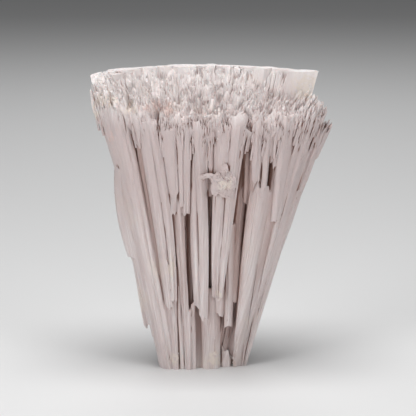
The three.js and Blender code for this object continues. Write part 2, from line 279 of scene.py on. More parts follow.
def skin_depth(bundle, column, z):
    """How far a fine column's surface lies below its bundle's front."""
    at = Vector((column["share"] * GRAIN_ACROSS + bundle["seed"], z * GRAIN_ALONG, GRAIN_SLICE))
    below = sum(depth for height, depth in column["steps"] if z < height)
    return SKIN_BELOW - column["stand"] - GRAIN * noise(at) + below


BODY_DEPTH = 7.0  # how far its plain back lies behind its front
BODY_BACK = 0.8  # breadth of that back, over the front's
BODY_CAP, FOOT_CAP = 1.5, 0.3  # its skin ends this far below its tip, and starts above its foot
SKIN_EVERY = 3.0  # height between the rings of the skin
FOOT_FADE, HEAD_FADE = 4, 8  # how fast a column's own foot and head are lost inward
SMOOTH_FROM = 2  # a wall bundle that ends lower than this under the rim has a ragged head


def skin_ring(bundle, place, skin, level, up):
    """The front points of a body's ring, a share up from its foot."""
    ragged = place is on_front or bundle["tip"] < RIM - SMOOTH_FROM
    ring = []
    for column in skin:
        z = level + column["foot"] * (1 - up) ** FOOT_FADE
        if ragged:
            z += column["head"] * up**HEAD_FADE
        if up == 0:
            z += FOOT_CAP
        depth = skin_depth(bundle, column, z)
        ring.append(surface(bundle, place, column["share"], z, depth))
    return ring


def middle_of(ring):
    return [sum(point[i] for point in ring) / len(ring) for i in range(3)]


def body(bundle, place, depth=BODY_DEPTH):
    """A bundle's skin of fine columns, with a plain back that is lost in the middle."""
    low, high = bundle["foot"], bundle["tip"] - BODY_CAP
    skin = fine_columns(bundle, place)
    count = max(2, round((high - low) / (SKIN_EVERY * bundle.get("coarse", 1))))
    rings = []
    for k in range(count + 1):
        level = lerp(low, high, k / count)
        ring = skin_ring(bundle, place, skin, level, k / count)
        inset = depth + along(bundle, "deep", 0.0, level)
        for share in (BODY_BACK, -BODY_BACK):
            out = along(bundle, "out", 1.0, level)
            ring.append(place(across(bundle, share, level), inset, level, out))
        rings.append(ring)
    stack(rings, middle_of(rings[0]), middle_of(rings[-1]), "body")


RIB, RIB_SIZES = 0.6, (0.6, 1.5)  # half of a rib's breadth at the rim, and how much that varies
RIB_DEEP = 0.7  # half of its depth
RIB_SIDES = 6
RIB_UNEVEN, RIB_RING_UNEVEN = (0.8, 1.2), (0.94, 1.06)  # of its sides, and of each ring's
RIB_SHRINK = 0.85  # its breadth at the base, over its breadth at the rim
RIB_LONG, RIB_SHORTEST = (14, 60), 6
RIB_EVERY = 15.0  # height between its rings
RIB_FOOT, RIB_HOLLOW = 1.5, 0.1  # its foot is full size after this height, and this hollow
POINT = 3.2  # height of its pointed end
# Its size at its foot, where its point starts, and near its tip, where this share of it is left.
RIB_FOOT_SIZE, RIB_NECK_SIZE, RIB_TIP_SIZE, RIB_TIP_LEFT = 0.35, 0.95, 0.6, 0.35
SWAY, WAVES, WAVE = 0.25, (1.0, 3.5), 6.3  # how far and how often it sways, and one wave
SIDE_SLOPE = 0.4  # on the sides, which lie within this slope of the X axis, it is turned
RIB_PITCH, RIB_PITCH_UP = 4.0, 45  # one rib to this breadth and this height of a bundle
RIBS_COUNTED_AT = 0.6  # where in its height its breadth is taken
RIB_RANGE = 0.85  # how much of a bundle's breadth the ribs take up
RIB_FROM = (-0.1, 0.85)  # where their feet lie in its height: under 0 is at its own foot
RIB_HANG = (-1.5, 1.0)  # those start this far above it
RIB_PROUD = (-0.25, 0.1)
RIB_STOP = CREST * 0.6  # they end this far below its tip


def rib_levels(foot, tip):
    """The heights of a rib's rings, and its size at each."""
    long = tip - foot
    point = min(POINT, long / 2)
    count = max(2, round(long / RIB_EVERY))
    levels = [(foot, RIB_FOOT_SIZE), (foot + RIB_FOOT, 1.0)]
    levels += [(lerp(foot + RIB_FOOT, tip - point, k / count), 1.0) for k in range(1, count)]
    return levels + [(tip - point, RIB_NECK_SIZE), (tip - point * RIB_TIP_LEFT, RIB_TIP_SIZE)]


def rib(bundle, place, share, foot, tip, proud, half):
    """A fine fibre that stands proud mm out of its bundle's front."""
    turn = rng.uniform(0, 2 * math.pi)
    uneven = [draw(RIB_UNEVEN) for _ in range(RIB_SIDES)]
    phase, waves = rng.uniform(0, WAVE), draw(WAVES)
    rings = []
    for z, size in rib_levels(foot, tip):
        size *= lerp(RIB_SHRINK, 1, max(z, 0) / RIM)
        sway = SWAY * half * math.sin(phase + waves * WAVE * (z - foot) / (tip - foot))
        x, y, _ = surface(bundle, place, share, z, RIB_DEEP * size - proud)
        ring = []
        for i in range(RIB_SIDES):
            angle = turn + 2 * math.pi * i / RIB_SIDES
            spread = size * uneven[i] * draw(RIB_RING_UNEVEN)
            turned = (math.cos(angle) * half + sway, math.sin(angle) * RIB_DEEP)
            if place is on_wall and abs(y) < abs(x) * SIDE_SLOPE:
                turned = (-turned[1], turned[0])
            ring.append((x + spread * turned[0], y + spread * turned[1], z))
        rings.append(ring)
    ends = [surface(bundle, place, share, z, RIB_DEEP - proud) for z in (foot, tip)]
    stack(rings, (*ends[0][:2], foot + RIB_HOLLOW), (*ends[1][:2], tip), "rib")


def ribs(bundle, place):
    """Coarser fibres over a bundle's skin: some reach its foot, others pinch out in a step."""
    low, high = bundle["foot"], bundle["tip"]
    wide = breadth(bundle, place, lerp(low, high, RIBS_COUNTED_AT))
    count = round(wide / RIB_PITCH * (high - low) / RIB_PITCH_UP)
    for _ in range(max(1, count)):
        share = rng.uniform(-RIB_RANGE, RIB_RANGE)
        foot = lerp(low, high, draw(RIB_FROM))
        if foot < low:
            foot = low + (draw(RIB_HANG) if low > 0 else 0.0)
        tip = min(foot + draw(RIB_LONG), high - RIB_STOP)
        if tip - foot > RIB_SHORTEST:
            half = RIB * draw(RIB_SIZES)
            rib(bundle, place, share, foot, tip, draw(RIB_PROUD), half)


def grow_bundle(bundle, place, seed):
    bundle["seed"] = seed
    body(bundle, place)
    ribs(bundle, place)


# Seeds of each kind of bundle for the noise: the first one, and the step to the next.
FRONT_SEEDS, CREVICE_SEEDS, FLANK_SEEDS = (0, 7.3), (50, 3.1), (90, 5.7)
FIRST_FILL_SEED, RUN_SEED, FILL_SEED = 150, 11.7, 1.9  # per run, and per bundle of a run
WALL_SEED, BROKEN_SEED = 1.3, 1.7  # per degree


def grow_all(bundles, place, seeds):
    first, pace = seeds
    for number, bundle in enumerate(bundles):
        grow_bundle(bundle, place, first + number * pace)


def fibres(tip, foot, top, base, **more):
    """A bundle or a run of them: heights of its ends, and where both its edges are at each."""
    return dict(tip=tip, foot=foot, top=top, base=base, **more)


# The edges are given as x in mm, and bow shifts a bundle's middle to +X. deep is how far it lies
# behind the front of the cross-section, slant is how much lower the right side of its broken foot
# hangs than the left, and lobe how much lower than both its foot's middle does.
FRONT = [
    fibres(112, 3, (-42.4, -37), (-15.8, -12.6), bow=2.8, deep=0.2),
    fibres(111, -CUT, (-38.4, -30.8), (-15.2, -9.8), bow=0.8, deep=-0.2),
    fibres(110, -CUT, (-32, -28.2), (-11.6, -8.8), bow=0.8, deep=1.2),
    fibres(84, 45.5, (-33, -29.2), (-28, -22), bow=-2, deep=0.1, slant=1.5),
    fibres(50, 16.5, (-27.4, -19), (-21.4, -15.2), deep=0.2, slant=5),
    fibres(109, 93, (-28.8, -23), (-23.4, -20), deep=0.4),
    fibres(108.5, 26, (-25.2, -18.6), (-12.8, -9.4), bow=0.4, deep=-0.1, lobe=2),
    fibres(108, 28.6, (-22, -17.2), (-10.8, -8.3), bow=2.2, deep=-0.3, lobe=2),
    fibres(40, -CUT, (-15, -8.2), (-11.4, -7.6), deep=1.2),
    fibres(96, 17.4, (-13.5, -6.6), (-5.9, -3.8), deep=1.3, slant=2),
    fibres(105.5, 71.5, (-16.2, -8.2), (-11.2, -7.2), deep=-0.3, lobe=2.5),
    fibres(105.5, 69.5, (-8.6, -5.6), (-7.5, -5.3), deep=0.2, lobe=1),
    fibres(105.5, 64.9, (-5.8, -2.6), (-5.8, -3.2), lobe=0.5),
    fibres(100, 26.3, (-1.6, 0.6), (-1.4, 2.4), bow=-1.6, deep=(0.4, 1.2), slant=2),
    fibres(106, 22, (-2.8, 2.2), (0.4, 3.9), bow=1.0, deep=-0.4, slant=3),
    fibres(106, 69.5, (1.2, 4.6), (2, 3.2), deep=1, lobe=1.5),
    fibres(105.5, 80, (4.2, 6.2), (4.4, 5.9), deep=0.8),
    fibres(105.5, 80, (6, 8), (6, 7.2), deep=1.2),
    fibres(105.5, 30.5, (7.6, 14.6), (5.6, 9), bow=-1, deep=0.1),
    fibres(107, 31.4, (12.8, 19.7), (8, 9.8), deep=-0.6),
    fibres(37, 23.5, (6.4, 10.6), (6.4, 10.6), deep=1.9, slant=1.5),
    fibres(63, 18.2, (10.3, 14.8), (10.4, 13.8), deep=1.8, lobe=-1.2),
    fibres(92, 29, (16, 21), (11.4, 16), deep=(2.6, 5.6), slant=2),
    fibres(96, 69, (18.2, 20.8), (17.6, 19.8), deep=3.3, lobe=2.5),
    fibres(106, 78.2, (21.2, 26.2), (21.2, 24.4), lobe=1.6),
    fibres(98, 68, (20.6, 27), (19.4, 26.6), deep=1.9),
    fibres(106, 71.5, (25.8, 29.4), (24.6, 26.8), deep=0.6, lobe=1),
    fibres(106.5, 84.5, (29.0, 32.2), (29.2, 31.2), deep=1.2),
    fibres(79.5, -CUT, (20.8, 31.2), (13.8, 17.8), bow=-0.9, deep=1.1),
    fibres(107, 62, (31.7, 39), (28.6, 33.6), deep=0.2, slant=-1.5),
    fibres(106, 25.5, (38, 50.2), (22.8, 25.6), deep=0.9, slant=-1.5),
    fibres(98, 58, (41.5, 45), (31.8, 33.6), deep=0.4, slant=1.5),
    fibres(48, -CUT, (-11.4, -8.8), (-9.4, -7.4), deep=1.6),
    fibres(46, -CUT, (-8.9, -6.6), (-7.1, -5.2), deep=2.0),
    fibres(44, -CUT, (-6.8, -5), (-5, -3.2), deep=1.7),
    fibres(28, -CUT, (-5.2, -2.5), (-5, -2.6), deep=1.5),
    fibres(30, -CUT, (-2.8, -1), (-2.9, -0.8), deep=2.2),
    fibres(36, -CUT, (0.6, 8.8), (1.8, 9), deep=2.1),
    fibres(9.5, -CUT, (9.4, 13.6), (9.4, 13.6), deep=3.2, slant=2),
]


# Runs of fibres that close the joints between bundles, each split in count bundles that overlap.
FILL_OVERLAP = 0.25
FILLS = [
    fibres(106, -CUT, (-31.5, -24), (-11, -8.4), count=2, deep=(1.0, 3.8)),
    fibres(107, 66, (-12.6, -3.2), (-11, -3.6), count=3, deep=1.0),
    fibres(107, 74, (-1.8, 7.4), (-1.6, 6), count=2, deep=1.8),
    fibres(107, 34, (7.8, 19.2), (6.2, 9.4), count=3, deep=1.1),
    fibres(107, 86, (21.6, 31.4), (21.4, 30.6), count=3, deep=1.2),
    fibres(107, -CUT, (33, 49.6), (17.2, 18.4), count=3, deep=(1.4, 2.8)),
]


def fill_bundles():
    for number, run in enumerate(FILLS):
        for i in range(run["count"]):
            ends = (i - FILL_OVERLAP) / run["count"], (i + 1 + FILL_OVERLAP) / run["count"]
            bundle = {key: run[key] for key in ("tip", "foot", "deep")}
            for end in ("top", "base"):
                bundle[end] = tuple(lerp(*run[end], share) for share in ends)
            seed = FIRST_FILL_SEED + number * RUN_SEED + i * FILL_SEED
            grow_bundle(bundle, on_front, seed)


CREVICES, CREVICE_OVERLAP = 24, 0.1
CREVICE_DEPTH, CREVICE_SPREAD, CREVICE_TIP = 6.4, (-0.7, 0.9), 103.0
CREVICES_TO = 0.84  # in u: nearer the ends the cross-section is too thin for them


def crevices():
    """Recessed fibres at the bottom of the crevices, all across the front."""
    sides = (-CREVICE_OVERLAP, 1 + CREVICE_OVERLAP)
    for i in range(CREVICES):
        ends = [CREVICES_TO * lerp(-1, 1, (i + side) / CREVICES) for side in sides]
        top, base = ([fan(u, 0, z)[0] for u in ends] for z in (CREVICE_TIP, -CUT))
        deep = CREVICE_DEPTH + draw(CREVICE_SPREAD)
        yield fibres(CREVICE_TIP, -CUT, top, base, deep=deep, coarse=COARSE)


# ---- sides and back
# Ledges of the left flank (180 degrees) and the right flank (0), with their edges in degrees: out
# is how far out a ledge lies at its foot and its tip. The last one lies under the rim's end.
FLANKS = [
    fibres(113.5, 92, (160, 197), (162, 195), out=(0.93, 0.965)),
    fibres(109, 80, (184, 212), (184, 208), out=(0.86, 1.02)),
    fibres(81, 43, (160, 186), (164, 188), out=(1.0, 0.93)),
    fibres(72, 50, (156, 184), (160, 184), out=(1.02, 1.01)),
    fibres(61, 32, (158, 196), (160, 196), out=(0.975, 0.97)),
    fibres(33, 18, (165, 196), (168, 196), out=(1.0, 1.01)),
    fibres(31, 12, (180, 206), (182, 204), out=(0.95, 0.97)),
    fibres(82, 3.5, (156, 204), (156, 204), out=(0.93, 0.91)),
    fibres(44, 1.5, (190, 216), (192, 218), out=(0.95, 0.95)),
    fibres(107, 77, (-24, 12), (-20, 10), out=(0.96, 0.93)),
    fibres(105, 67, (-20, 12), (-16, 10), out=(1.0, 1.0)),
    fibres(102, 81, (-16, 10), (-14, 8), out=(1.04, 1.06)),
    fibres(100, 85, (-10, 10), (-8, 8), out=(1.07, 1.09)),
    fibres(93, 59, (-16, 12), (-14, 10), out=(1.03, 1.05)),
    fibres(75, 24, (-18, 14), (-16, 12), out=(1.04, 1.03)),
    fibres(85, 3, (-26, 18), (-24, 18), out=(0.91, 0.97)),
    fibres(RIM + 4, 98, (29, 38), (29, 38), out=(1.08, 0.98)),
]


# Runs of the wall in degrees, from the right flank round the back to the left one.
SHOULDER_WALL, RIM_WALL = (-14.0, 29.5), (29.5, 194.0)
BUNDLE_DEGREES, BUNDLE_SIZES, BUNDLE_OVERLAP = 10.0, (0.6, 1.5), 0.5
WALL_OUT = (0.955, 1.0)
WALL_BELOW, INSIDE_BELOW = 2.5, 4  # tips under the growth face: a bundle's, and the inner one's
PAST_RIM = 4  # the rim's bundles pass it by this much, before it is cut flat
ENDS_FROM = 0.8  # in u: the bundles past this differ, behind the ledges of the flanks
ENDS_OUT, ENDS_FOOT = 0.92, (1, 4)
RIM_DEPTH = 3.0  # how thick the flat rim is
CORNER, CORNER_RUN, CORNER_PAST = 2.4, 0.2, 1.5  # how far and on what run its left end falls
BROKEN_SHARE, BROKEN_OUT = 0.5, 0.05  # how many have a broken one on them, and how proud
BROKEN_FOOT, BROKEN_RISE, BROKEN_LOW = 8, 50, 1.4  # its foot's height, most of them low


def wall_tip(u, v, behind_rim):
    """How high a bundle of the wall grows: past the rim, or not quite to the growth face."""
    if not behind_rim:
        return face_height(u, v) - WALL_BELOW
    corner = CORNER * max(-u - ENDS_FROM, 0) / CORNER_RUN
    return RIM + (CORNER_PAST - corner if corner else PAST_RIM)


def wall_bundle(start, end, at_rim):
    """A bundle of the wall, with a broken one on some, and a lower one inside the thin rim."""
    u, v = edge((start + end) / 2)
    behind_rim = at_rim and v > 0
    spread = (start - BUNDLE_OVERLAP, end + BUNDLE_OVERLAP)
    bundle = dict(foot=-CUT, tip=wall_tip(u, v, behind_rim), top=spread, base=spread)
    bundle.update(out=1.0 if start == RIM_WALL[0] else draw(WALL_OUT), coarse=COARSE)
    bundle["seed"] = start * WALL_SEED
    if abs(u) > ENDS_FROM:
        bundle.update(out=ENDS_OUT, foot=draw(ENDS_FOOT))
    body(bundle, on_wall, RIM_DEPTH)
    ribs(bundle, on_wall)
    if behind_rim:
        inside = face_height(u, v) - INSIDE_BELOW if u < SHELF_FROM else SHELF
        body(dict(bundle, tip=inside), on_wall)
    if rng.random() < BROKEN_SHARE and abs(u) < ENDS_FROM:
        foot = BROKEN_FOOT + BROKEN_RISE * rng.random() ** BROKEN_LOW
        bundle.update(foot=foot, out=bundle["out"] + BROKEN_OUT)
        grow_bundle(bundle, on_wall, start * BROKEN_SEED)


def wall_bundles(start, stop, at_rim):
    """Bundles side by side all along a run of the wall."""
    while start < stop:
        end = start + draw(BUNDLE_SIZES) * BUNDLE_DEGREES
        if stop - end < BUNDLE_DEGREES / 2:
            end = stop
        wall_bundle(start, end, at_rim)
        start = end


# ---- growth face
CLUMP, CLUMP_RISE = 3.2, 5.4  # pitch of the clumps of crystals, and by how much they differ
CLUMP_SHIFT, CLUMP_DEPTH, CLUMP_DOME = 0.8, 0.8, 0.2  # how far off the grid, how long, how domed
SHELF_FROM, SHELF_TO, SHELF = 0.34, 0.5, 107.5  # the low shelf in front of the rim's smooth end
# Where dark gaps between the bundles run back into the growth face: x at the lip, half width.
GAPS = [(-28.3, 1.0), (-16.4, 0.8), (7.8, 0.6), (20.4, 0.9), (30, 0.8), (38, 0.6)]
GAP_DEPTH, GAP_FAN = 4.0, 0.12  # how deep they are, and how much they spread to the back
GAP_END, GAP_ENDS, GAP_ENDS_PITCH = -0.35, 0.6, 0.2  # in v: where they end, how that varies
GAP_SWAY, GAP_SWAYS = 1.2, 3  # how far and how often they sway
GAP_END_SLICE, GAP_SLICE, PIT_SLICE = 4.0, 7.0, 21  # slices of the noise
# In t, which is -1 at the lip and 1 at the rear rim, the face drops at the lip and rises behind.
LIP_DROP, LIP_DROP_FROM = 4.5, 0.75
REAR_RISE, LEFT_RISE, LEFT_RISE_FROM, LEFT_RISE_RUN = 4.0, 4.0, 0.7, 0.3
PIT, PIT_PITCH, PIT_FROM, PITS_TO = 14, 3.3, 0.35, 0.5
ROUGH, ROUGH_PITCH = 3, 7.0
SHOULDER_CALM, SHELF_CALM = 0.4, 0.6  # how much of the roughness is left there


def hashed(i, j, salt):
    """A number from 0 to 1 that belongs to a cell of a grid; the factors tell the cells apart."""
    return random.Random(i * 7919 + j * 104729 + salt).random()


def clump_height(x, y):
    """Height of the clump of crystals that a point of the face belongs to."""
    i, j = round(x / CLUMP), round(y / CLUMP)
    nearest, height = math.inf, 0.0
    for a in (i - 1, i, i + 1):
        for b in (j - 1, j, j + 1):
            at_x = (a + CLUMP_SHIFT * (hashed(a, b, 1) - 0.5)) * CLUMP
            at_y = (b + CLUMP_SHIFT * (hashed(a, b, 2) - 0.5)) * CLUMP
            away = math.hypot(x - at_x, (y - at_y) * CLUMP_DEPTH)
            if away < nearest:
                nearest, height = away, CLUMP_RISE * (hashed(a, b, 3) - 0.5)
    return height - CLUMP_DOME * nearest**2


def gap_depth(x, v):
    """How deep a gap between bundles cuts into the face."""
    end = GAP_END + GAP_ENDS * noise(Vector((x * GAP_ENDS_PITCH, GAP_END_SLICE, 0.0)))
    for at, half in GAPS:
        sway = GAP_SWAY * noise(Vector((at, v * GAP_SWAYS, GAP_SLICE)))
        if v < end and abs(x - at * (1 + GAP_FAN * (v + 1)) - sway) < half:
            return GAP_DEPTH
    return 0.0


def field_height(u, v, t):
    """Height of the crystals of the face; t is -1 at the lip and 1 at the rear rim."""
    x, y, _ = fan(u, v, RIM)
    place = Vector((x, y, 0))
    lip = LIP_DROP * (max(-t - LIP_DROP_FROM, 0) / (1 - LIP_DROP_FROM)) ** 2
    shelf = clamp((u - SHELF_FROM) / (SHELF_TO - SHELF_FROM))
    calm = SHOULDER_CALM if u > SHOULDER_FROM else lerp(1, SHELF_CALM, shelf)
    rise = REAR_RISE * max(t, 0) ** 3 * (1 - shelf)
    rise += LEFT_RISE * max(-u - LEFT_RISE_FROM, 0) / LEFT_RISE_RUN
    pit = 0.0
    if t < PITS_TO:
        pit = PIT * max(noise(place / PIT_PITCH + Vector((0, 0, PIT_SLICE))) - PIT_FROM, 0)
    rough = clump_height(x, y) + ROUGH * noise(place / ROUGH_PITCH) + rise - pit
    ground = face_height(u, v)
    ground = min(ground, lerp(ground, SHELF, shelf))
    return ground + calm * rough - lip - gap_depth(x, v)


GRID_ACROSS, GRID_DEEP = 118, 54
GRID_END = 0.985  # in u
GRID_EDGE = 0.975  # how much of the cross-section the growth face covers
GROUND_BELOW, GROUND_SPREAD = 1.8, 0.3  # how far the ground lies below the crystals
FIELD_DEEP = 14.0  # it is a slab this thick
FIELD_FOOT = (0.9, 0.85)  # how much the slab narrows to its underside, across and deep


def slab_faces(wide, deep, count):
    """Faces that close a slab between two grids of count points each."""
    row = wide + 1
    faces = []
    for j in range(deep):
        for i in range(wide):
            a = j * row + i
            quad = (a, a + 1, a + row + 1, a + row)
            faces += [quad, tuple(count + k for k in reversed(quad))]
    rim = list(range(row))
    rim += [j * row + wide for j in range(1, deep + 1)]
    rim += [deep * row + i for i in range(wide - 1, -1, -1)]
    rim += [j * row for j in range(deep - 1, 0, -1)]
    return faces + [(b, a, count + a, count + b) for a, b in zip(rim, rim[1:] + rim[:1])]


def growth_field():
    """The ground between the crystals of the growth face, as one slab."""
    top, bottom = [], []
    for j in range(GRID_DEEP + 1):
        t = lerp(-1, 1, j / GRID_DEEP)
        for i in range(GRID_ACROSS + 1):
            u = lerp(-GRID_END, GRID_END, i / GRID_ACROSS)
            v = t * reach(u, 1 if t > 0 else -1)
            z = field_height(u, v, t) - GROUND_BELOW + rng.uniform(-GROUND_SPREAD, GROUND_SPREAD)
            top.append(fan(u * GRID_EDGE, v * GRID_EDGE, z))
            under = face_height(u, v) - FIELD_DEEP
            bottom.append(fan(u * FIELD_FOOT[0], v * FIELD_FOOT[1], under))
    add_solid(top + bottom, slab_faces(GRID_ACROSS, GRID_DEEP, len(top)), "field")


# Each kind of crystal: how many, their half thickness, and the height of their points.
TIPS, TIP_SIZE = 2100, ((0.4, 0.85), (1.2, 3.2))
LIP_CRYSTALS, LIP_SIZE = 880, ((0.3, 0.65), (1.2, 3.0))
SHOULDER_CRYSTALS, SHOULDER_SIZE = 150, ((0.5, 1.1), (1.2, 3.4))
PLATE_FIBRES, PLATE_SIZE = 230, ((0.3, 0.6), (0.5, 2.0))
CRYSTAL_SIDES, CRYSTAL_UNEVEN, CRYSTAL_LIFT, CRYSTAL_LEAN = 5, (0.8, 1.2), 0.35, 0.4


def crystal(top, low, size):
    """A pointed crystal from low up to top."""
    half, point = map(draw, size)
    turn = rng.uniform(0, 2 * math.pi)
    long = top[2] - low[2]
    rings = []
    for drop in (long, point):
        x, y, z = (lerp(a, b, drop / long) for a, b in zip(top, low))
        ring = []
        for i in range(CRYSTAL_SIDES):
            angle = turn + 2 * math.pi * i / CRYSTAL_SIDES
            spread = half * draw(CRYSTAL_UNEVEN)
            lift = rng.uniform(-CRYSTAL_LIFT, CRYSTAL_LIFT) if drop < long else 0
            ring.append((x + spread * math.cos(angle), y + spread * math.sin(angle), z + lift))
        rings.append(ring)
    aside = half * CRYSTAL_LEAN
    tip = (top[0] + rng.uniform(-aside, aside), top[1] + rng.uniform(-aside, aside), top[2])
    stack(rings, low, tip, "tip")


GOLDEN_DEGREES = 137.508  # this turn from each tip to the next spreads them evenly
TIPS_TO, LEAST_REACH = 0.965, 0.05
TIP_LONG, TIP_INWARD = 9.0, 0.98  # its foot: this far below it, at this share of its way out
TIP_SPREAD = (-1.3, 1.2)
RIM_ROW_FROM, RIM_ROW_SHARE, RIM_ROW_BELOW = 0.86, 0.7, (0.2, 9)  # in t: the row along the rim
SHELF_ROW_FROM, SHELF_ROW_TO, SHELF_ROW_RISE = 0.7, 0.7, 3  # in t and u: behind the shelf
UNDER_RIM = 0.2


def tip_height(u, v, t):
    tip = field_height(u, v, t) + draw(TIP_SPREAD)
    if t > RIM_ROW_FROM and u < SHELF_FROM and rng.random() < RIM_ROW_SHARE:
        tip = max(tip, RIM - draw(RIM_ROW_BELOW) * rng.random())
    elif t > SHELF_ROW_FROM and SHELF_FROM < u < SHELF_ROW_TO:
        tip += SHELF_ROW_RISE * rng.random() ** 2
    return min(tip, RIM - UNDER_RIM)


def growth_tips():
    """The crystals that bristle all over the growth face."""
    for i in range(TIPS):
        far = math.sqrt((i + 0.5) / TIPS) * TIPS_TO
        u, v = (part * far for part in edge(i * GOLDEN_DEGREES % 360))
        tip = tip_height(u, v, v / max(reach(u, v), LEAST_REACH))
        at_u, at_v = u * GRID_EDGE, v * GRID_EDGE
        low = fan(at_u * TIP_INWARD, at_v * TIP_INWARD, tip - TIP_LONG)
        crystal(fan(at_u, at_v, tip), low, TIP_SIZE)


LIP_NEAR, LIP_FAR = (-2.2, 3), (0, 10)  # half of them lie this far below the lip, half this far
LIP_LONG, LIP_INSET, LIP_LEAN, LIP_GAP = (4, 9), (0.3, 0.9), 0.8, 0.5
CREST_INSET, CREST_HEIGHT, CREST_POWER = 0.35, 3, 1.5  # they follow the round crest


def lip_crystals():
    """Small crystals over the rounded crest of the front bundles, clear of the gaps."""
    for _ in range(LIP_CRYSTALS):
        u = rng.uniform(-GRID_END, GRID_END)
        below = draw(LIP_NEAR if rng.random() < 0.5 else LIP_FAR)
        tip = face_height(u, -reach(u)) - below
        x = fan(u, 0, tip)[0]
        if any(abs(x - at) < half + LIP_GAP for at, half in GAPS):
            continue
        foot = tip - draw(LIP_LONG)
        back = max(CREST_HEIGHT - below, 0) ** CREST_POWER * CREST_INSET
        inset = draw(LIP_INSET) + back
        low = on_front(fan(u, 0, foot)[0], inset + LIP_LEAN, foot)
        crystal(on_front(x, inset, tip), low, LIP_SIZE)


SHOULDER_ARC = (-40.0, 24.0)  # the shoulder's outer edge, in degrees
SHOULDER_OUT, SHOULDER_RISE, SHOULDER_INSETS = (0.76, 1.0), (-3.5, 1.5), (0.5, 0.9)


def wall_crystal(degrees, insets, heights, out, size):
    """A crystal on the wall: its inset and height at its tip and at its foot."""
    top, low = (on_wall(degrees, inset, z, out) for inset, z in zip(insets, heights))
    crystal(top, low, size)


def shoulder_crystals():
    """Ragged crystals over the shoulder's outer edge."""
    for _ in range(SHOULDER_CRYSTALS):
        degrees, out = draw(SHOULDER_ARC), draw(SHOULDER_OUT)
        u, v = edge(degrees)
        tip = face_height(u * out, v * out) + draw(SHOULDER_RISE)
        wall_crystal(degrees, SHOULDER_INSETS, (tip, tip - TIP_LONG), out, SHOULDER_SIZE)


PLATE_ARC = (33.0, 84.0)  # the smooth end of the rim, in degrees
PLATE_BELOW, PLATE_INSET, PLATE_LONG, PLATE_OUT = (0.4, 11), (-0.1, 0.7), 12, 0.97


def plate_fibres():
    """Fine upright fibres against the inside of the rim's smooth end."""
    for _ in range(PLATE_FIBRES):
        degrees, tip = draw(PLATE_ARC), RIM - draw(PLATE_BELOW)
        inset = RIM_DEPTH + draw(PLATE_INSET)
        wall_crystal(degrees, (inset, inset), (tip, tip - PLATE_LONG), PLATE_OUT, PLATE_SIZE)


# ---- crust lump
# A lump of fine crystals on the front: x and z of each lobe's middle and its half sizes.
LUMP = [
    (10.2, 79.6, 4.6, 4.9),
    (10.5, 84.9, 1.6, 2.3),
    (13.2, 79.4, 2.2, 2.8),
    (11.3, 76.2, 2.7, 3.0),
    (6.9, 77.4, 1.9, 3.4),
    (7.7, 81.2, 2.7, 1.9),
    (4.6, 82.3, 2.5, 1.0),
    (2.3, 81.9, 1.6, 0.9),
    (1.2, 81.2, 0.8, 1.2),
]
LUMP_DEPTH, LUMP_PROUD = 1.0, 0.2  # half its depth, and how proud of the front its middle is
LUMP_GRAINS, LUMP_GRAIN, LUMP_EDGE, LUMP_SINK = 260, (0.25, 0.5), 0.95, 0.1
MAIN_LOBE = 6  # the first lobe gets so many more shares of the grains
WIDE_LOBE, WIDE_LOBE_CUTS, LOBE_CUTS = 2.5, 4, 3  # subdivisions, by the half size
LOBE_FLAT = 0.55  # under 1, its front is flat and its sides are steep
LOBE_ROUGH, LOBE_FINE_ROUGH, LOBE_STRETCH = (0.22, 0.7), (0.14, 2.2), 2  # height, noise's pitch
GRAIN_UNEVEN = (0.7, 1.3)


def add_ball(move, subdivisions, name):
    """A ball whose unit points are moved by a function that gives them in millimetres."""
    ball = bmesh.new()
    bmesh.ops.create_icosphere(ball, subdivisions=subdivisions, radius=1.0)
    for vert in ball.verts:
        vert.co = Vector([c * MM for c in move(vert.co)])
    mesh = bpy.data.meshes.new(name)
    ball.to_mesh(mesh)
    ball.free()
    pieces.objects.link(bpy.data.objects.new(name, mesh))


def scattered(x, z, half_x, half_z, most=1.0):
    """A random point of an ellipse, and how far out it is: 0 in the middle, 1 at the edge."""
    far, angle = math.sqrt(rng.random()) * most, rng.uniform(0, 2 * math.pi)
    return x + far * half_x * math.cos(angle), z + far * half_z * math.sin(angle), far


def grain(x, y, z, size):
    """One small sugary crystal."""
    stretch = [size * draw(GRAIN_UNEVEN) for _ in range(3)]
    add_ball(lambda co: [a + b * c for a, b, c in zip((x, y, z), co, stretch)], 1, "grain")


def lump_grains():
    """Fine crystals all over the lump."""
    for _ in range(LUMP_GRAINS):
        lobe = rng.choice(LUMP + LUMP[:1] * MAIN_LOBE)
        at_x, at_z, far = scattered(*lobe, LUMP_EDGE)
        proud = LUMP_DEPTH * (1 - far**4) ** 0.5
        front = on_front(lobe[0], -LUMP_PROUD, lobe[1])[1]
        grain(at_x, front - proud + LUMP_SINK, at_z, draw(LUMP_GRAIN))


def lobe_point(co, x, z, half_x, half_z):
    """Where a point of a unit ball lies on a lobe of the lump."""
    place = Vector((co.x * half_x, co.y * LOBE_STRETCH, co.z * half_z))
    height, pitch = LOBE_ROUGH
    rough = 1 + height * noise(place * pitch + Vector((x, z, 0)))
    height, pitch = LOBE_FINE_ROUGH
    rough += height * noise(place * pitch)
    flat = math.copysign(abs(co.y) ** LOBE_FLAT, co.y)
    front = on_front(x, -LUMP_PROUD, z)[1]
    return x + co.x * half_x * rough, front + flat * LUMP_DEPTH * rough, z + co.z * half_z * rough


def crust_lump():
    for lobe in LUMP:
        cuts = WIDE_LOBE_CUTS if lobe[2] > WIDE_LOBE else LOBE_CUTS
        add_ball(lambda co: lobe_point(co, *lobe), cuts, "lobe")


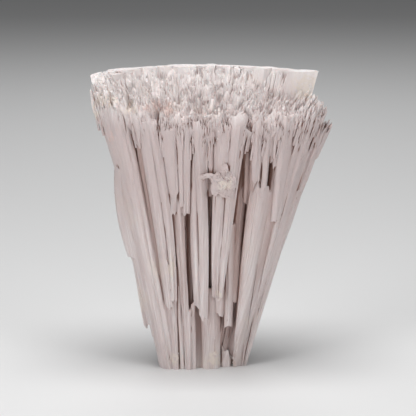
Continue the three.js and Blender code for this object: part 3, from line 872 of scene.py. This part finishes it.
# Patches of fine sugary grains on the front: x and z of their middles, half sizes, grains.
PATCHES = [(6.6, 4.2, 3.0, 3.6, 90), (6.0, 11.5, 2.2, 3.0, 20), (8.4, 32.6, 1.6, 2.0, 40)]
PATCHES += [(-10.6, 44, 1.6, 6.5, 70), (-9.4, 5, 2.2, 3.4, 40), (14.8, 3.5, 1.4, 3.2, 25)]
PATCH_INSET, PATCH_GRAIN = (1.6, 2.2), (0.22, 0.45)


def grains():
    for *patch, count in PATCHES:
        for _ in range(count):
            x, z, _ = scattered(*patch)
            y = on_front(x, draw(PATCH_INSET), z)[1]
            grain(x, y, z, draw(PATCH_GRAIN))


# ---- heart and union
def heart(sides=48, rings=5):
    """The solid middle, domed under the growth face."""
    stacked = []
    for k in range(rings + 1):
        share = HEART_SHARE * (1 if k < 1 else 1 - (k - 1) / rings)
        ring = []
        for i in range(sides):
            u_edge, v_edge = edge(360 * i / sides)
            u, v = u_edge * share, v_edge * share
            ring.append(fan(u, v, -CUT if k == 0 else face_height(u, v) - HEART_BELOW))
        stacked.append(ring)
    top = face_height(0, 0) - HEART_BELOW
    return stack(stacked, fan(0, 0, -CUT), fan(0, 0, top), "heart")


def boolean(obj, operation, **operand):
    modifier = obj.modifiers.new(operation, "BOOLEAN")
    modifier.operation = operation
    modifier.solver = "MANIFOLD"
    for name, value in operand.items():
        setattr(modifier, name, value)
    evaluated = obj.evaluated_get(bpy.context.evaluated_depsgraph_get())
    mesh = bpy.data.meshes.new_from_object(evaluated)
    obj.modifiers.clear()
    obj.data = mesh


def slab(low, high):
    """A box that reaches far past the specimen, between two heights."""
    far = 2 * RIM
    corners = [(x, y, z) for z in (low, high) for y in (-far, far) for x in (-far, far)]
    faces = [(0, 2, 3, 1), (4, 5, 7, 6), (0, 1, 5, 4), (1, 3, 7, 5), (3, 2, 6, 7), (2, 0, 4, 6)]
    return add_solid(corners, faces, "slab")


def island_of(start, left):
    """The vertices that hang together with start, taken out of left."""
    island, waiting = [], [start]
    while waiting:
        vert = waiting.pop()
        island.append(vert)
        for link in vert.link_edges:
            other = link.other_vert(vert)
            if other in left:
                left.remove(other)
                waiting.append(other)
    return island


def keep_outside(mesh):
    """Drops the walls of any hollow that stayed sealed between the fibres."""
    work = bmesh.new()
    work.from_mesh(mesh)
    left = set(work.verts)
    islands = []
    while left:
        islands.append(island_of(left.pop(), left))
    outside = max(islands, key=len)
    for island in islands:
        if island is not outside:
            bmesh.ops.delete(work, geom=island, context="VERTS")
    work.to_mesh(mesh)
    work.free()


def grow():
    """Every fibre, tip and lobe joined with the heart in one closed body, cut flat."""
    grow_all(FRONT, on_front, FRONT_SEEDS)
    fill_bundles()
    grow_all(crevices(), on_front, CREVICE_SEEDS)
    grow_all(FLANKS, on_wall, FLANK_SEEDS)
    wall_bundles(*SHOULDER_WALL, False)
    wall_bundles(*RIM_WALL, True)
    growth_field()
    growth_tips()
    lip_crystals()
    shoulder_crystals()
    plate_fibres()
    crust_lump()
    lump_grains()
    grains()
    whole = heart()
    pieces.objects.unlink(whole)
    bpy.context.scene.collection.objects.link(whole)
    boolean(whole, "UNION", operand_type="COLLECTION", collection=pieces)
    for obj in list(pieces.objects):
        bpy.data.objects.remove(obj)
    for low, high in ((-2 * RIM, 0), (RIM, 3 * RIM)):
        cutter = slab(low, high)
        boolean(whole, "DIFFERENCE", object=cutter)
        bpy.data.objects.remove(cutter)
    keep_outside(whole.data)
    whole.name = "fibrous_calcite"
    return whole


# ---- what the stains, the painted light and the painted shade follow
RAYS = 14
CAVITY_REACH = 7.0
RAY_START, RAY_LEAN, RAY_FADE = 0.15, 1.3, 0.6  # off the surface, to its normal, a far hit's loss


def store(mesh, name, value_at):
    """A number for each vertex, which the material reads by its name."""
    values = [value_at(vert) for vert in mesh.vertices]
    mesh.attributes.new(name, "FLOAT", "POINT").data.foreach_set("value", values)


def shut_in(tree, spin, vert):
    """How shut in a vertex is, 0 open to 1 deep in a crevice."""
    origin = vert.co + vert.normal * RAY_START * MM
    hits = 0.0
    for ray in spin:
        aim = (ray + vert.normal * RAY_LEAN).normalized()
        distance = tree.ray_cast(origin, aim, CAVITY_REACH * MM)[3]
        if distance is not None:
            hits += 1 - RAY_FADE * distance / (CAVITY_REACH * MM)
    return hits / RAYS


# The material paints shade and brown stain from this, and light where a vertex is open.
def store_cavity(mesh):
    faces = [tuple(face.vertices) for face in mesh.polygons]
    tree = BVHTree.FromPolygons([vert.co for vert in mesh.vertices], faces)
    spin = [Vector([rng.gauss(0, 1) for _ in range(3)]).normalized() for _ in range(RAYS)]
    store(mesh, "cavity", lambda vert: shut_in(tree, spin, vert))


RECESS = 6.0  # how far behind the front counts as deep in a recess
RECESS_FADE = 9.0  # over this height below the lip it counts less and less
RECESS_FOOT, RECESS_FOOT_LOSS = 36.0, 0.8  # and below this one too, by this share at the base


# The material paints shade, with some brown stain, by this.
def recessed(vert):
    """How far a vertex of the front lies behind the bundles, 0 flush to 1 deep."""
    x, y, z = vert.co / MM
    if y >= 0 or z >= LIP or abs(u_at(x, z)) >= CREVICES_TO:
        return 0.0
    behind = clamp((y - on_front(x, 0, z)[1]) / RECESS)
    near_foot = 1 - RECESS_FOOT_LOSS * max(1 - z / RECESS_FOOT, 0)
    return behind * near_foot * min((LIP - z) / RECESS_FADE, 1)


# Stained spots of the front: x and z of their middles, and their half sizes.
CREAM_SPOTS = [(-36, 110.5, 6, 3), (-27, 108.5, 5, 2.6), (-41, 106, 3, 4), (6.6, 4.2, 3.4, 4.4)]
CREAM_SPOTS += [(8.4, 32.6, 2, 2.4), (-10.6, 44, 1.8, 7), (11, 79, 4, 4), (-9.4, 5, 2.2, 3.6)]
RUSTY_SPOTS = [(-16, 108, 3.4, 2.2), (-11.5, 107.4, 3, 2), (-20, 108.5, 2, 1.4), (-34, 96, 1.4, 3)]
PLATE_CREAM = [(43, 112, 7, 7)]  # the same, on the rim's smooth end


def in_spot(spot, x, z):
    """1 in the middle of a spot, 0 at its edge and beyond."""
    return max(1 - ((x - spot[0]) / spot[2]) ** 2 - ((z - spot[1]) / spot[3]) ** 2, 0)


def stained_by(spots, behind, vert):
    """How deep a vertex lies in the spots of the front, or in those behind it."""
    x, y, z = vert.co / MM
    return max([in_spot(spot, x, z) for spot in (spots if y < 0 else behind)], default=0)


# ---- material
PALE, PINK = (0.76, 0.675, 0.665, 1), (0.62, 0.52, 0.51, 1)
CREAM, WHITE = (0.79, 0.705, 0.62, 1), (0.86, 0.815, 0.8, 1)
# Of these, the last two are painted shade for the recesses and crevices, mixed with their real
# brown stain.
RUSTY, SHADE_BLUSH, STAIN_AND_SHADE = (0.76, 0.57, 0.52, 1), (0.5, 0.36, 0.33, 1), (0.22, 0.11, 0.08, 1)
# Noises: how many to a metre, detail and roughness. The first three run along the fibres.
STREAKS, FINE, BROAD = (900.0, 3.0, 0.6), (2100.0, 2.0, 0.6), (160.0, 2.0, 0.5)
CLOUD, MOTTLE, SUGAR = (45.0, 3.0, 0.55), (500.0, 3.0, 0.6), (2600.0, 2.0, 0.6)
ALONG_SHARE = 0.045  # how slowly those three change along them
# Ramps: a range of the input, and what becomes of it. Those of height are in millimetres.
PALE_RAMP, STREAK_RAMP, FINE_RAMP = (0.35, 0.65), (0.45, 0.7, 0.0, 0.6), (0.5, 0.3, 0.0, 0.5)
# The second ramp is painted light: how open a spot must be for the white top.
CLOUD_RAMP, LIT_CROWN_OPEN = (0.52, 0.72, 0.0, 0.4), (0.75, 0.3)
# Painted shade: the middle of the front is painted pinker and darker, as less light reaches it.
BAND_BOTTOM, BAND_TOP = (45, 80), (110, 98, 0.0, 0.9)  # a pinker band across the middle
# Painted light: the open top near the growth face is painted white, as if lit from above; the
# second pair lessens the painted shade there.
LIT_CROWN, CROWN_SHUT = (LIP - 8, RIM, 0.0, 0.75), (LIP - 6, LIP + 2, 1.0, 0.62)  # the white top
MOTTLE_RAMP, SPOT_RAMP = (0.35, 0.6, 0.2, 1.5), (0.1, 0.9, 0.0, 0.6)
# These ramps paint shade, with some brown stain, into the recesses and the crevices.
RECESS_SHADE_RAMP, SHADE_BLUSH_RAMP = (0.14, 0.6, 0.0, 0.85), (0.28, 0.7, 0.0, 0.75)
STAIN_AND_SHADE_RAMP = (0.55, 0.9, 0.0, 0.9)
BAND_SHADE_AND_STAIN = 0.4  # how much the painted shade and stain of the crevices darken in the band
STREAKS_RELIEF, SUGAR_RELIEF, FINE_RELIEF, RELIEF_DEPTH = 0.6, 0.4, 0.35, 0.75 * MM
GLOSS_RAMP = (0.3, 0.7, 0.42, 0.62)
GLOW = {"Weight": 0.25, "Radius": (1.0, 0.7, 0.6), "Scale": 0.7 * MM}


class Nodes:
    """Small helpers to write a node tree as expressions."""

    def __init__(self, material):
        material.use_nodes = True
        self.tree = material.node_tree
        self.shader = self.tree.nodes["Principled BSDF"]

    def set(self, name, value):
        self.feed(self.shader.inputs[name], value)

    def node(self, kind, inputs=(), **settings):
        node = self.tree.nodes.new(kind)
        for name, value in settings.items():
            setattr(node, name, value)
        for key, value in dict(inputs).items():
            self.feed(node.inputs[key], value)
        return node

    def feed(self, socket, value):
        if isinstance(value, bpy.types.NodeSocket):
            self.tree.links.new(value, socket)
        else:
            socket.default_value = value

    def math(self, operation, a, b):
        return self.node("ShaderNodeMath", {0: a, 1: b}, operation=operation).outputs[0]

    def times(self, a, b):
        return self.math("MULTIPLY", a, b)

    def plus(self, a, b):
        return self.math("ADD", a, b)

    def stored(self, name):
        return self.node("ShaderNodeAttribute", attribute_name=name).outputs["Fac"]

    def noise(self, vector, scale, detail, roughness):
        inputs = {"Vector": vector, "Scale": scale, "Detail": detail, "Roughness": roughness}
        return self.node("ShaderNodeTexNoise", inputs).outputs["Fac"]

    def ramp(self, value, low, high, start=0.0, end=1.0):
        inputs = {"Value": value, "From Min": low, "From Max": high, "To Min": start, "To Max": end}
        return self.node("ShaderNodeMapRange", inputs, interpolation_type="SMOOTHSTEP").outputs[0]

    def height_ramp(self, low, high, start=0.0, end=1.0):
        return self.ramp(self.height, low * MM, high * MM, start, end)

    def mix(self, factor, a, b):
        node = self.node("ShaderNodeMix", {"Factor": factor}, data_type="RGBA")
        self.feed(node.inputs[6], a)
        self.feed(node.inputs[7], b)
        return node.outputs[2]


def fibre_vector(n, place):
    """A texture vector that follows the fibres: across and deep as at the rim, then along."""
    split = n.node("ShaderNodeSeparateXYZ", {0: place})
    x, y, n.height = (split.outputs[i] for i in range(3))
    t = n.math("DIVIDE", n.height, RIM * MM)
    widths = []
    for base, rim in ((BASE_HALF_WIDTH, RIM_HALF_WIDTH), (BASE_HALF_DEPTH, RIM_HALF_DEPTH)):
        widths.append(n.plus(n.times(t, 1 - base / rim), base / rim))
    middle = n.times(t, LEAN * MM)
    sideways = n.math("DIVIDE", n.math("SUBTRACT", x, middle), widths[0])
    inward = n.math("DIVIDE", y, widths[1])
    upward = n.times(n.height, ALONG_SHARE)
    return n.node("ShaderNodeCombineXYZ", {0: sideways, 1: inward, 2: upward}).outputs[0]


def ground_colour(n, place, vector, streaks, fine, band):
    """Pink and pale fibres with white streaks and cream clouds, and a pinker band of painted shade.
    """
    colour = n.mix(n.ramp(n.noise(vector, *BROAD), *PALE_RAMP), PINK, PALE)
    colour = n.mix(n.ramp(streaks, *STREAK_RAMP), colour, WHITE)
    colour = n.mix(n.ramp(fine, *FINE_RAMP), colour, PINK)
    colour = n.mix(n.ramp(n.noise(place, *CLOUD), *CLOUD_RAMP), colour, CREAM)
    # painted shade across the middle
    return n.mix(band, colour, PINK)


def stains_and_painted_light(n, place, colour, band):
    """Spots, a white top of painted light, painted shade and brown stain in recesses and crevices.
    """
    cavity, mottle = n.stored("cavity"), n.noise(place, *MOTTLE)
    # painted light: the open top is painted white, as if lit from above
    lit_crown = n.times(n.height_ramp(*LIT_CROWN), n.ramp(cavity, *LIT_CROWN_OPEN))
    colour = n.mix(lit_crown, colour, WHITE)
    for name, tint in (("cream", CREAM), ("rusty", RUSTY)):
        mottled = n.times(n.stored(name), n.ramp(mottle, *MOTTLE_RAMP))
        colour = n.mix(n.ramp(mottled, *SPOT_RAMP), colour, tint)
    # Painted shade with some real brown stain: darker where shut in, less at the top, more in the
    # band.
    shut = n.times(cavity, n.height_ramp(*CROWN_SHUT))
    shut = n.times(shut, n.plus(1.0, n.times(band, BAND_SHADE_AND_STAIN)))
    # Painted shade with some brown stain: first in the recesses, then in the crevices.
    colour = n.mix(n.ramp(n.stored("recess"), *RECESS_SHADE_RAMP), colour, SHADE_BLUSH)
    colour = n.mix(n.ramp(shut, *SHADE_BLUSH_RAMP), colour, SHADE_BLUSH)
    return n.mix(n.ramp(shut, *STAIN_AND_SHADE_RAMP), colour, STAIN_AND_SHADE)


def relief(n, streaks, fine, sugar):
    height = n.times(streaks, STREAKS_RELIEF)
    height = n.plus(height, n.times(sugar, SUGAR_RELIEF))
    height = n.plus(height, n.times(fine, FINE_RELIEF))
    inputs = {"Height": height, "Strength": 1.0, "Distance": RELIEF_DEPTH}
    return n.node("ShaderNodeBump", inputs).outputs[0]


def calcite():
    material = bpy.data.materials.new("fibrous_calcite")
    n = Nodes(material)
    place = n.node("ShaderNodeTexCoord").outputs["Object"]
    vector = fibre_vector(n, place)
    streaks, fine = n.noise(vector, *STREAKS), n.noise(vector, *FINE)
    sugar = n.noise(place, *SUGAR)
    # the band of painted shade across the middle of the front
    band = n.times(n.height_ramp(*BAND_BOTTOM), n.height_ramp(*BAND_TOP))
    colour = ground_colour(n, place, vector, streaks, fine, band)
    n.set("Base Color", stains_and_painted_light(n, place, colour, band))
    n.set("Normal", relief(n, streaks, fine, sugar))
    n.set("Roughness", n.ramp(sugar, *GLOSS_RAMP))
    for name, value in GLOW.items():
        n.set("Subsurface " + name, value)
    return material


# ---- studio
# In metres here: places and sizes, of the lights with their power in watts.
CAMERA_TARGET, CAMERA_DISTANCE, CAMERA_ELEVATION = Vector((0.004, 0, 0.0643)), 1.3, 12.5
FRAME_WIDTH = 0.1664  # how much of the scene spans the picture
SENSOR = 36.0
FLOOR = 3.0
PAPER, PAPER_ROUGHNESS = (0.72, 0.72, 0.72, 1), 0.9
SKY, SKY_POWER = (0.9, 0.92, 0.95, 1), 0.05
LIGHTS_AIM = (0, 0, 0.07)
LIGHTS = {
    "left_key": ((-0.45, -0.42, 0.26), 0.24, 1.5),
    "right_key": ((0.48, -0.42, 0.2), 0.24, 1.05),
    "top": ((0.0, -0.08, 0.75), 0.4, 4.6),
    "low_fill": ((0.0, -0.8, 0.06), 0.3, 1.2),
    "back": ((0.0, 0.6, 0.45), 0.4, 0.9),
}


def place_new(name, data, location, at):
    """A camera or a light at a place, turned to look at another."""
    obj = bpy.data.objects.new(name, data)
    bpy.context.scene.collection.objects.link(obj)
    obj.location = location
    obj.rotation_euler = (Vector(at) - obj.location).to_track_quat("-Z", "Y").to_euler()
    return obj


def camera():
    data = bpy.data.cameras.new("camera")
    data.lens = SENSOR * CAMERA_DISTANCE / FRAME_WIDTH
    data.sensor_width = SENSOR
    rise = math.radians(CAMERA_ELEVATION)
    location = CAMERA_TARGET + CAMERA_DISTANCE * Vector((0, -math.cos(rise), math.sin(rise)))
    bpy.context.scene.camera = place_new("camera", data, location, CAMERA_TARGET)


def softbox(name, location, size, power):
    data = bpy.data.lights.new(name, "AREA")
    data.size = size
    data.energy = power
    place_new(name, data, location, LIGHTS_AIM)


def studio():
    bpy.ops.mesh.primitive_plane_add(size=FLOOR)
    floor = bpy.context.object
    floor.name = "floor"
    paper = bpy.data.materials.new("pale_paper")
    n = Nodes(paper)
    n.set("Base Color", PAPER)
    n.set("Roughness", PAPER_ROUGHNESS)
    floor.data.materials.append(paper)
    world = bpy.data.worlds.new("studio")
    bpy.context.scene.world = world
    world.use_nodes = True
    sky = world.node_tree.nodes["Background"]
    sky.inputs["Color"].default_value = SKY
    sky.inputs["Strength"].default_value = SKY_POWER
    for name, light in LIGHTS.items():
        softbox(name, *light)
    bpy.context.scene.view_settings.view_transform = "Standard"


# ---- the scene
SHARP_DEGREES = 38  # edges sharper than this stay crisp


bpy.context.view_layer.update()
camera()
studio()
specimen = grow()
# cavity and recess steer the painted light and shade, with brown stain; cream and rusty are real
# stains.
store_cavity(specimen.data)
store(specimen.data, "recess", recessed)
store(specimen.data, "cream", lambda vert: stained_by(CREAM_SPOTS, PLATE_CREAM, vert))
store(specimen.data, "rusty", lambda vert: stained_by(RUSTY_SPOTS, [], vert))
specimen.data.materials.clear()
specimen.data.materials.append(calcite())
specimen.data.shade_smooth()
specimen.data.set_sharp_from_angle(angle=math.radians(SHARP_DEGREES))
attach(specimen, "root")
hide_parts(NODE)
